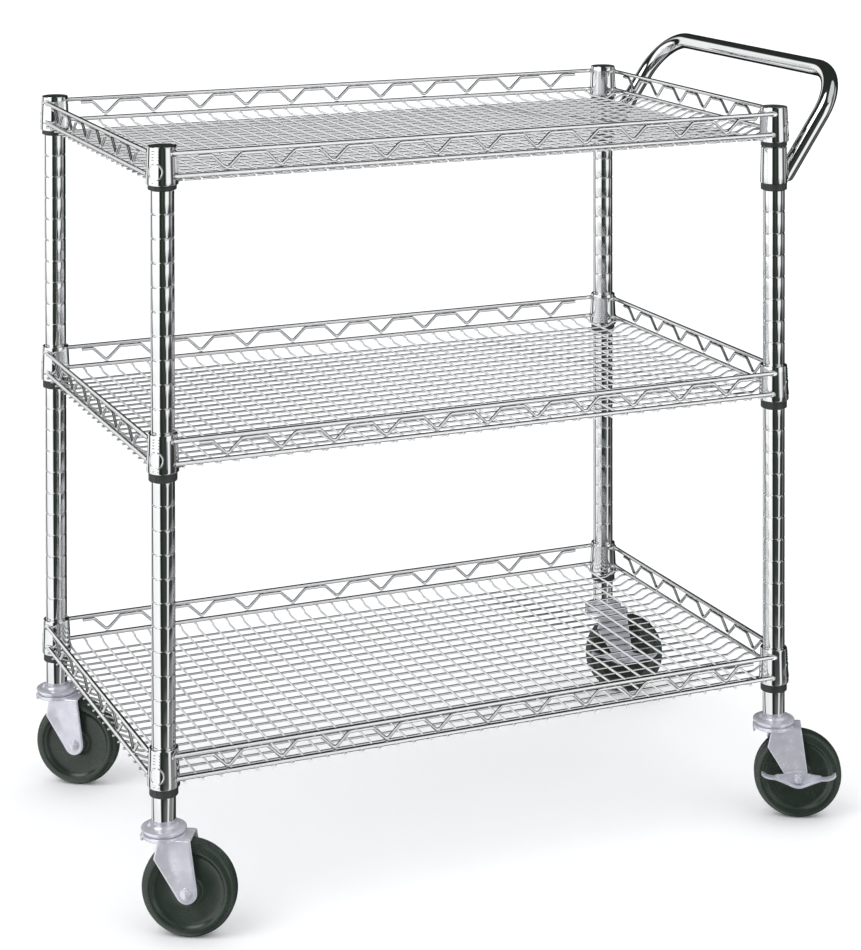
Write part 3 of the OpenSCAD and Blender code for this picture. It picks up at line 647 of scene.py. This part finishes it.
def seated(ring, y0, k, inset=0.15):
    """keep an arm's skin outside the handle collar and above the arm's lower edge, with soft corners"""
    out = []
    for v in ring:
        x, y, z = v
        z = FOOT_Z + math.log1p(math.exp((z - FOOT_Z) / k)) * k if z < FOOT_Z + 12 else z
        rc = hc_r(min(41, max(0, z - HZ))) - inset
        yy = min(abs(y - y0), rc - 0.2)
        lim = PX + math.sqrt(rc ** 2 - yy ** 2)
        if x < lim + 6:
            x = lim + math.log1p(math.exp((x - lim) / (k * 0.6))) * k * 0.6
        out.append((x, y, z))
    return np.array(out)


def arm(first, y0):
    """rings of one arm from its closed foot outward"""
    d = cen[first + (1 if first == 0 else -1)] - cen[first]
    d = d / np.linalg.norm(d)
    base = rr[first]
    out = []
    for u in (-7.0, -4.5, -2.0, 0.5, 3.0, 5.5, 8.0, 10.5, 13.0, 15.5, 18.0, 20.5, 23.0, 26.0, 30.0):
        out.append(seated(base + d * u, y0, 1.1))
    return out


fa, fb = arm(0, 0.0), arm(len(rr) - 1, PY)
s.rings(fa + rr[4:-4] + fb[::-1])
for y0 in (0.0, PY):
    # fillet weld over the seat, from flank to flank
    loop = []
    for f in np.linspace(4, 176, 44):
        y, up = 10.0 * math.cos(math.radians(f)), math.sin(math.radians(f))
        z = FOOT_Z + 2
        for _ in range(4):
            rc = hc_r(min(41, max(0, z - HZ)))
            z = TOP - ARM_DROP + (math.sqrt(rc ** 2 - y ** 2) - ARM_X) * math.tan(a) + H_R * up / math.cos(a)
        if z > FOOT_Z + 0.8:
            loop.append((PX + math.sqrt(rc ** 2 - y ** 2) + 0.25, y0 + y, z + 0.1))
    w.bead(loop, 0.95, rough=0.3, closed=False)
piece("handle_tube_bent", s, "frame", "chrome_tube", ["handle_tube"])
piece("handle_welds", w, "frame", "chrome_tube")

# ------------------------------------------------------------------ casters
def arc(cx, cy, r, a0, a1, n):
    return [(cx + r * math.cos(math.radians(t)), cy + r * math.sin(math.radians(t))) for t in np.linspace(a0, a1, n)]


BR, BC, BZ = 2.5, 16.5, 110.9
sh = 7.5
hw = WW / 2
half = [(6.36, 14.2), (6.7, 14.6), (11.2, 14.6), (11.9, 14.35), (12.6, 13.6), (13.3, 11.9), (14.2, 9.6), (15.2, 8.2), (17.0, 7.45), (20, 7.2), (27, 7.2), (33.2, 7.25), (35.2, 7.45), (36.8, 7.95),
        (38.0, 8.8), (39.2, 10.1), (40.2, 10.95), (41.3, 11.25), (42.4, 11.27)]
half += [(WR - sh + sh * math.cos(math.radians(t)), hw - sh + sh * math.sin(math.radians(t))) for t in range(84, 0, -7)] + [(WR, hw - sh - 0.4)]
wheel_prof = half + [(r, -z) for r, z in half[::-1]]


LEG_R, LEG_PX, LEG_PZ = 11.3, -7.5, 85.0
LEG_Q = math.atan2(WR - LEG_PZ, TRAIL - LEG_PX) - math.asin(LEG_R / math.hypot(TRAIL - LEG_PX, WR - LEG_PZ))
TAN_X, TAN_Z = TRAIL + LEG_R * math.sin(LEG_Q), WR - LEG_R * math.cos(LEG_Q)


def left_x(z):
    if z > LEG_PZ + 3:
        return LEG_PX + 0.7 + 3.8 * (z - LEG_PZ - 3) / (102.9 - LEG_PZ)
    if z > LEG_PZ:
        return LEG_PX + 0.7 * (z - LEG_PZ) / 3
    if z > TAN_Z:
        return TAN_X + (LEG_PX - TAN_X) * (z - TAN_Z) / (LEG_PZ - TAN_Z)
    return TRAIL - math.sqrt(max(0.0, LEG_R ** 2 - (z - WR) ** 2))


def right_x(z):
    if z > WR + 2:
        return TRAIL + LEG_R + (31.5 - TRAIL - LEG_R) * (z - WR - 2) / (105.9 - WR - 2)
    return TRAIL + math.sqrt(max(0.0, LEG_R ** 2 - (z - WR) ** 2))


def leg_sheet(s, M, sgn):
    """one pressed leg with its bend into the crown; a shallow fold runs down the outer face"""
    rows = [(LEG_OUT - 4.2, 105.9, 0.0, 1.0)]
    for t in np.linspace(15, 90, 6):
        q = math.radians(t)
        rows.append((LEG_OUT - 4.2 + 4.2 * math.sin(q), 105.9 - 4.2 + 4.2 * math.cos(q), math.sin(q), math.cos(q)))
    for z in [98, 94, 91, 88, 86.5, 85, 83] + list(np.linspace(79, WR + 6, 8)) + list(WR + LEG_R * np.cos(np.radians(np.linspace(68, 176, 18)))):
        rows.append((LEG_OUT, z, 1.0, 0.0))
    cols = [0, 0.012, 0.03, 0.06, 0.12, 0.2, 0.28, 0.34, 0.40, 0.48, 0.6, 0.72, 0.84, 0.92, 0.96, 0.985, 1.0]
    outer, inner = [], []
    for y, z, ny, nz in rows:
        xl, xr = left_x(z), right_x(z)
        fade = min(1.0, max(0.0, (101.5 - z) / 14)) * min(1.0, max(0.0, (z - WR - 10) / 16))
        po, pi = [], []
        for c in cols:
            x = xl + (xr - xl) * c
            fold = 1.05 * (1 - abs(c - 0.36) / (0.36 if c < 0.36 else 0.64)) * fade
            edge = 0.55 * max(0.0, 1 - min(c, 1 - c) * (xr - xl) / 1.1) ** 2
            d = fold + edge
            po.append((x, sgn * (y - d * ny), z - d * nz))
            th = LEG_T - 2 * edge if edge < 0.8 else LEG_T - 1.6
            pi.append((x, sgn * (y - (d + th) * ny), z - (d + th) * nz))
        outer.append(po)
        inner.append(pi)
    s.rings([list(o) + list(i[::-1]) for o, i in zip(outer, inner)], M)


def crown(s, M):
    tong = [(-20 + 4 * math.cos(math.radians(t)), 6 + 4 * math.sin(math.radians(t))) for t in (180, 168, 156, 145, 135, 124.3)]
    out = tong + [(-18.7, 11.75), (-15.9, 13.65), (-14.8, 14.15), (-13.6, 14.2), (-4, 14.2), (10, 14.2), (24, 14.2), (30.6, 14.2), (31.3, 13.8), (31.5, 13.2), (31.5, 7), (31.5, 0)]
    poly = out + [(x, -y) for x, y in out[:-1]] + [(-24, 3), (-24, 0), (-24, -3)]
    poly = sorted(set((round(x, 4), round(y, 4)) for x, y in poly), key=lambda p: math.atan2(p[1], p[0]))
    a = [math.atan2(y, x) for x, y in poly]
    inner = [(11 * math.cos(t), 11 * math.sin(t)) for t in a]
    zt, zb = 105.9, 103.3
    sec = [[(x, y, zb + 0.3) for x, y in poly], [(x, y, zt - 0.4) for x, y in poly], [(x * 0.99, y * 0.99, zt - 0.1) for x, y in poly], [(x * 0.975, y * 0.975, zt) for x, y in poly],
           [(x, y, zt) for x, y in inner], [(x, y, zb) for x, y in inner], [(x * 0.99, y * 0.99, zb) for x, y in poly]]
    s.rings(sec, M, closed=True)
    # short turned-down lip at the back
    lip = M @ np.array([[0, 0, 1, 0], [1, 0, 0, 0], [0, 1, 0, 0], [0, 0, 0, 1.0]])
    s.prism([(-6.2, 105.2), (-6.2, 100.6), (-5.6, 99.3), (-4.4, 98.5), (4.4, 98.5), (5.6, 99.3), (6.2, 100.6), (6.2, 105.2)], -24, -21.4, 0.5, lip, steps=3)


for k in POSTS:
    C, A = at_caster(k), at_axle(k)
    body, roll = f"caster_{k}", f"rolling_wheel_{k}"
    # wheel
    s = Shape()
    s.lathe(wheel_prof, 128, A)
    piece(f"wheel_{k}_moulded", s, roll, "wheel_rubber", [f"wheel_{k}"], sharp=50)
    # stem with the upper race
    s = Shape()
    s.lathe([(0, 100.4), (5.6, 100.4), (6.6, 100.7), (7.2, 101.3), (7.4, 102.0), (7.4, 103.2), (4, 103.2), (4, 108.2), (12, 108.2), (12.5, 112.2)]
            + [(BC + (BR + RUN) * math.cos(math.radians(t)), BZ + (BR + RUN) * math.sin(math.radians(t))) for t in np.linspace(149, 31, 10)]
            + [(20.4, 112.2), (21.2, 112.1), (21.5, 111.6), (21.6, 110.6), (22.1, 110.4), (23.5, 110.4), (23.9, 110.7), (24, 111.3), (24, 112.4), (23.7, 113.0), (22.6, 113.6), (21, 114.3),
               (19.6, 114.6), (18.4, 114.5), (17.4, 114.7), (16.6, 115.4), (16.1, 116.1), (15.4, 116.9), (14.5, 117.6), (13.6, POST_FOOT - TOUCH), (5.5, POST_FOOT - TOUCH), (5.5, POST_FOOT + 36), (4.6, POST_FOOT + 37), (0, POST_FOOT + 37)], 72, C, closed=False)
    piece(f"stem_{k}_turned", s, "frame", "zinc_plate", [f"stem_{k}"])
    # yoke
    s = Shape()
    s.lathe([(4 + RUN, 103.3), (21.6, 103.3), (22.7, 103.6), (23.3, 104.3), (23.4, 105.0), (23.4, 106.8), (23.1, 107.4), (22.2, 107.8), (20.9, 107.9), (20.6, 108.3), (20.6, 110.2), (20.3, 110.6), (18.98, 110.4)]
            + [(BC + (BR + RUN) * math.cos(math.radians(t)), BZ + (BR + RUN) * math.sin(math.radians(t))) for t in range(-15, -166, -15)]
            + [(14.0, 110.4), (13.4, 110.6), (13.2, 110.2), (13.2, 107.9), (4 + RUN, 107.9)], 72, C)
    crown(s, C)
    leg_sheet(s, C, -1)
    leg_sheet(s, C, 1)
    piece(f"fork_{k}_pressed", s, body, "zinc_plate", [f"fork_{k}"], sharp=40)
    # axle bolt with its head on the outer side, and the nut on the other
    grip = 3.0 if k.endswith("right") else 0.0
    hd = 5.3 if grip else 6.6
    s = Shape()
    h0 = LEG_OUT + grip + TOUCH
    s.lathe([(0, -LEG_OUT - 10), (AXLE_R - 0.9, -LEG_OUT - 10), (AXLE_R, -LEG_OUT - 9.1), (AXLE_R, h0), (hd - 0.4, h0), (hd, h0 + 0.3), (hd, h0 + 0.9), (hd - 0.3, h0 + 1.25), (hd - 1.4, h0 + 1.4), (0, h0 + 1.4)], 48, A, closed=False)
    hexo = [((hd - 1) * math.cos(math.radians(60 * i + 12)), (hd - 1) * math.sin(math.radians(60 * i + 12))) for i in range(6)]
    s.prism(hexo, h0 + 1.1, h0 + 4.1, 0.45, A, steps=3)
    s.lathe([(0, h0 + 4.0), (2.9, h0 + 4.0), (3.0, h0 + 4.2), (2.9, h0 + 4.75), (2.4, h0 + 5.0), (0, h0 + 5.0)], 32, A, closed=False)
    piece(f"axle_{k}_bolt", s, body, "zinc_plate", [f"axle_{k}"])
    s = Shape()
    N = at_caster(k) @ T(TRAIL, LEG_OUT + TOUCH, WR) @ R("x", -90)
    s.lathe([(AXLE_R + TOUCH, 0), (7.1, 0), (7.4, 0.25), (7.4, 0.95), (7.1, 1.2), (AXLE_R + TOUCH, 1.2)], 48, N)
    outline = [(6.9 * math.cos(math.radians(60 * i)), 6.9 * math.sin(math.radians(60 * i))) for i in range(6)]
    n6 = []
    for i in range(6):
        p0, p1 = np.array(outline[i]), np.array(outline[(i + 1) % 6])
        n6 += [tuple(p0 + (p1 - p0) * f) for f in (0, 0.25, 0.5, 0.75)]
    ho = [(math.cos(math.atan2(y, x)), math.sin(math.atan2(y, x))) for x, y in n6]
    tube = lambda f, z: [(x * f, y * f, z) for x, y in n6]
    bore = lambda z: [((AXLE_R + TOUCH) * x, (AXLE_R + TOUCH) * y, z) for x, y in ho]
    clip = lambda rad, z: [(x * min(1, rad / math.hypot(x, y)), y * min(1, rad / math.hypot(x, y)), z) for x, y in n6]
    s.rings([bore(1.2), clip(6.2, 1.2), clip(6.6, 1.5), tube(1, 1.9), tube(1, 6.0), clip(6.5, 6.4), clip(6.0, 6.6), [(5.4 * x, 5.4 * y, 6.6) for x, y in ho], [(5.4 * x, 5.4 * y, 7.9) for x, y in ho], bore(8.0)], N, closed=True)
    piece(f"nut_{k}_lock", s, body, "zinc_plate", [f"nut_{k}"])

# brake levers: web plate, and rolled lower flange with a toe pad at each end
low = [(-42, 7.2), (-40, 6.4), (-36, 4), (-31, 2.9), (-26, 2.4), (-14, -2), (-4, -5.9), (4, -5.9), (14, -2), (26, 2.6), (33, 3.2), (38, 4.8), (41, 7.4), (43, 8.4),
       (43, 6.6), (40, 3.6), (34, 1.4), (26, 0.6), (14, -4), (4, -7.9), (-4, -7.9), (-14, -4), (-26, 0.4), (-32, 0.9), (-38, 2.6), (-42, 5.4)]
web = [(-27, 3), (-16, 5), (-8, 7.6), (-3, 8.4), (3, 8.4), (8, 7.6), (16, 5.2), (27, 3.4), (15, -3), (4, -7), (-4, -7), (-15, -3)]


def curve(poly, n=4):
    """Catmull-Rom smoothing of a closed outline"""
    p = np.array(poly, float)
    out = []
    for i in range(len(p)):
        a, b, c, d = p[i - 1], p[i], p[(i + 1) % len(p)], p[(i + 2) % len(p)]
        for j in range(n):
            t = j / n
            out.append(0.5 * (2 * b + (c - a) * t + (2 * a - 5 * b + 4 * c - d) * t * t + (3 * b - a - 3 * c + d) * t ** 3))
    return [tuple(q) for q in out]


for k in ("front_right", "rear_right"):
    F = at_caster(k) @ T(TRAIL, -LEG_OUT - 0.3, WR) @ R("x", 90)
    s = Shape()
    wo = curve(web, 3)
    hole = AXLE_R + RUN
    ang = [math.atan2(y, x) for x, y in wo]
    ring = lambda z, f=1.0: [(x * f, y * f, z) for x, y in wo]
    inn = lambda z: [(hole * math.cos(t), hole * math.sin(t), z) for t in ang]
    s.rings([inn(0), ring(0, 0.985), ring(0.35), ring(1.65), ring(2.0, 0.985), inn(2.0)], F, closed=True)
    s.prism(curve(low, 3), 0.1, LEVER_W, 0.5, F, steps=3)
    piece(f"brake_lever_{k}_pressed", s, f"brake_{k}", "zinc_plate", [f"brake_lever_{k}"], sharp=40)

# ------------------------------------------------------------------ floor, light and camera
DARK = (0.012, 0.017, 0.012)
FACING = 246.4  # direction from the cart to the camera, degrees from +X
BANDS = [(-180, DARK), (-152, DARK), (-147, 0.95), (-125, 0.95), (-121, DARK), (-108, DARK), (-102, 1.0), (-98, 1.2), (-24, 1.2), (-19, DARK), (-4, (0.02, 0.028, 0.02)), (6, (0.05, 0.06, 0.05)), (16, (0.04, 0.05, 0.04)),
         (25, DARK), (32, 0.10), (38, 1.0), (66, 1.0), (74, 0.12), (88, 0.08), (97, 0.45), (108, 0.40), (114, DARK), (150, DARK), (180, DARK)]
BANDS_MID = [(-180, 0.02), (-152, 0.02), (-147, 0.9), (-125, 0.9), (-121, DARK), (-106, DARK), (-100, 1.0), (-26, 1.1), (-19, DARK), (-6, (0.02, 0.028, 0.02)), (8, (0.034, 0.044, 0.034)), (40, (0.05, 0.055, 0.06)),
             (46, 0.95), (56, 0.95), (62, (0.05, 0.05, 0.055)), (84, (0.035, 0.042, 0.035)), (97, 0.06), (106, 0.30), (114, DARK), (150, 0.02), (180, 0.02)]
BANDS_LOW = [(-180, 0.03), (-152, 0.03), (-147, 0.85), (-125, 0.85), (-121, 0.05), (-108, 0.05), (-101, 0.9), (-26, 1.0), (-19, 0.02), (-2, 0.02), (8, (0.085, 0.095, 0.085)), (40, 0.17), (46, 0.85), (56, 0.85), (62, 0.19), (90, 0.24),
             (106, 0.45), (116, 0.04), (150, 0.03), (180, 0.03)]


def studio(nt, vec, bands, low_only=False):
    """what polished metal sees round the cart: upright white panels and dark gaps, dark overhead"""
    sp = node(nt, "ShaderNodeSeparateXYZ")
    nt.links.new(vec, sp.inputs[0])
    at = node(nt, "ShaderNodeMath", operation="ARCTAN2")
    nt.links.new(sp.outputs["Y"], at.inputs[0])
    nt.links.new(sp.outputs["X"], at.inputs[1])
    off = node(nt, "ShaderNodeMath", operation="ADD")
    off.inputs[1].default_value = math.radians(180 - FACING)
    nt.links.new(at.outputs[0], off.inputs[0])
    wr = node(nt, "ShaderNodeMath", operation="WRAP")
    wr.inputs[1].default_value, wr.inputs[2].default_value = math.pi * 2, 0
    nt.links.new(off.outputs[0], wr.inputs[0])
    fr = node(nt, "ShaderNodeMath", operation="DIVIDE")
    fr.inputs[1].default_value = 2 * math.pi
    nt.links.new(wr.outputs[0], fr.inputs[0])
    band = ramp(nt, fr.outputs[0], [((d + 180) / 360, c) for d, c in bands])
    if low_only:
        return band
    nz = node(nt, "ShaderNodeMapRange")
    nz.inputs["From Min"].default_value, nz.inputs["From Max"].default_value = 0.34, 0.42
    nt.links.new(sp.outputs["Z"], nz.inputs["Value"])
    mx = node(nt, "ShaderNodeMix", data_type="RGBA")
    nt.links.new(nz.outputs["Result"], mx.inputs[0])
    nt.links.new(band, mx.inputs[6])
    mx.inputs[7].default_value = (0.022, 0.026, 0.022, 1)
    return mx.outputs[2]


wd = bpy.data.worlds.new("studio")
bpy.context.scene.world = wd
wd.use_nodes = True
nt = wd.node_tree
nt.nodes.clear()
out = node(nt, "ShaderNodeOutputWorld")
tc = node(nt, "ShaderNodeTexCoord")
lp = node(nt, "ShaderNodeLightPath")
bg_soft = node(nt, "ShaderNodeBackground", Color=(0.97, 0.98, 1.0, 1), Strength=1.0)
bg_view = node(nt, "ShaderNodeBackground", Color=(1, 1, 1, 1), Strength=1.0)
bg_refl = node(nt, "ShaderNodeBackground", Strength=1.0)
nt.links.new(studio(nt, tc.outputs["Generated"], BANDS), bg_refl.inputs["Color"])
m1, m2 = node(nt, "ShaderNodeMixShader"), node(nt, "ShaderNodeMixShader")
nt.links.new(lp.outputs["Is Glossy Ray"], m1.inputs[0])
nt.links.new(bg_soft.outputs[0], m1.inputs[1])
nt.links.new(bg_refl.outputs[0], m1.inputs[2])
nt.links.new(lp.outputs["Is Camera Ray"], m2.inputs[0])
nt.links.new(m1.outputs[0], m2.inputs[1])
nt.links.new(bg_view.outputs[0], m2.inputs[2])
nt.links.new(m2.outputs[0], out.inputs["Surface"])

# floor: pale and even; polished metal sees it end a little way off, where the studio's panels stand
fm = bpy.data.materials.new("floor_pale")
fm.use_nodes = True
nt = fm.node_tree
nt.nodes.clear()
out = node(nt, "ShaderNodeOutputMaterial")
bs = node(nt, "ShaderNodeBsdfPrincipled")
bs.inputs["Roughness"].default_value = 0.9
bs.inputs["Specular IOR Level"].default_value = 0.1
nt.links.new(ramp(nt, noise(nt, 3.0, 3.0), [(0.3, (0.955, 0.955, 0.955)), (0.7, (0.965, 0.965, 0.965))]), bs.inputs["Base Color"])
geo = node(nt, "ShaderNodeNewGeometry")
neg = node(nt, "ShaderNodeVectorMath", operation="SCALE")
neg.inputs["Scale"].default_value = -1
nt.links.new(geo.outputs["Incoming"], neg.inputs[0])
em = node(nt, "ShaderNodeEmission")
ln = node(nt, "ShaderNodeVectorMath", operation="LENGTH")
nt.links.new(geo.outputs["Position"], ln.inputs[0])
far = node(nt, "ShaderNodeMapRange")
far.inputs["From Min"].default_value, far.inputs["From Max"].default_value = 2.4, 4.2
nt.links.new(ln.outputs["Value"], far.inputs["Value"])
close = node(nt, "ShaderNodeMapRange")
close.inputs["From Min"].default_value, close.inputs["From Max"].default_value = 0.65, 1.05
nt.links.new(ln.outputs["Value"], close.inputs["Value"])
fm2 = node(nt, "ShaderNodeMix", data_type="RGBA")
nt.links.new(close.outputs["Result"], fm2.inputs[0])
nt.links.new(studio(nt, neg.outputs["Vector"], BANDS_LOW, True), fm2.inputs[6])
nt.links.new(studio(nt, neg.outputs["Vector"], BANDS_MID, True), fm2.inputs[7])
fx = node(nt, "ShaderNodeMix", data_type="RGBA")
nt.links.new(far.outputs["Result"], fx.inputs[0])
nt.links.new(fm2.outputs[2], fx.inputs[6])
nt.links.new(studio(nt, neg.outputs["Vector"], BANDS, True), fx.inputs[7])
nt.links.new(fx.outputs[2], em.inputs["Color"])
lp = node(nt, "ShaderNodeLightPath")
ms = node(nt, "ShaderNodeMixShader")
nt.links.new(lp.outputs["Is Glossy Ray"], ms.inputs[0])
nt.links.new(bs.outputs[0], ms.inputs[1])
nt.links.new(em.outputs[0], ms.inputs[2])
nt.links.new(ms.outputs[0], out.inputs["Surface"])
me = bpy.data.meshes.new("floor")
S = 60.0
n = 12
gv = [(-S + 2 * S * i / n, -S + 2 * S * j / n, 0) for j in range(n + 1) for i in range(n + 1)]
gf = [(j * (n + 1) + i, j * (n + 1) + i + 1, (j + 1) * (n + 1) + i + 1, (j + 1) * (n + 1) + i) for j in range(n) for i in range(n)]
me.from_pydata(gv, [], gf)
me.materials.append(fm)
floor = bpy.data.objects.new("floor", me)
bpy.context.scene.collection.objects.link(floor)


def sun(name, az, el, strength, spread):
    """soft light from a compass direction (degrees from +X) and height"""
    li = bpy.data.lights.new(name, "SUN")
    li.energy = strength
    li.angle = math.radians(spread)
    o = bpy.data.objects.new(name, li)
    bpy.context.scene.collection.objects.link(o)
    a, e = math.radians(az), math.radians(el)
    from mathutils import Vector
    d = Vector((math.cos(a) * math.cos(e), math.sin(a) * math.cos(e), math.sin(e)))
    o.rotation_mode = "QUATERNION"
    o.rotation_quaternion = d.to_track_quat("Z", "Y")
    o.location = d * 4
    return o


sun("key", FACING - 55, 52, 0.75, 35)
sun("fill", FACING + 65, 48, 0.35, 50)

cam = bpy.data.cameras.new("camera")
cam.sensor_width = 36
cam.lens = 95.12
cam.clip_start, cam.clip_end = 0.05, 200
co = bpy.data.objects.new("camera", cam)
bpy.context.scene.collection.objects.link(co)
bpy.context.scene.camera = co
CAM = (-0.777616 - MX / 1000, -2.516505 - MY / 1000, (441.443 + TOP) / 1000)
YAW, PITCH_DOWN, ROLL = 0.4124, 0.0127, -0.0013
fwd = np.array([math.sin(YAW) * math.cos(PITCH_DOWN), math.cos(YAW) * math.cos(PITCH_DOWN), -math.sin(PITCH_DOWN)])
right = np.array([math.cos(YAW), -math.sin(YAW), 0])
upv = np.cross(right, fwd)
from mathutils import Matrix
rot = Matrix((right, upv, -fwd)).transposed() @ Matrix.Rotation(ROLL, 3, "Z")
co.rotation_mode = "QUATERNION"
co.rotation_quaternion = rot.to_quaternion()
co.location = CAM
# the picture is cut from below the lens axis, only while the camera stands at the photo's place
for attr, val in (("shift_x", -0.01545), ("shift_y", -0.7128)):
    dr = cam.driver_add(attr).driver
    dr.type = "SCRIPTED"
    for nm, tt in (("px", "LOC_X"), ("py", "LOC_Y")):
        v = dr.variables.new()
        v.name = nm
        v.type = "TRANSFORMS"
        v.targets[0].id = co
        v.targets[0].transform_type = tt
        v.targets[0].transform_space = "WORLD_SPACE"
    dr.expression = f"{val} if abs(px - {CAM[0]:.6f}) < 0.001 and abs(py - {CAM[1]:.6f}) < 0.001 else 0.0"

bpy.context.scene.view_settings.view_transform = "Standard"
bpy.context.view_layer.update()
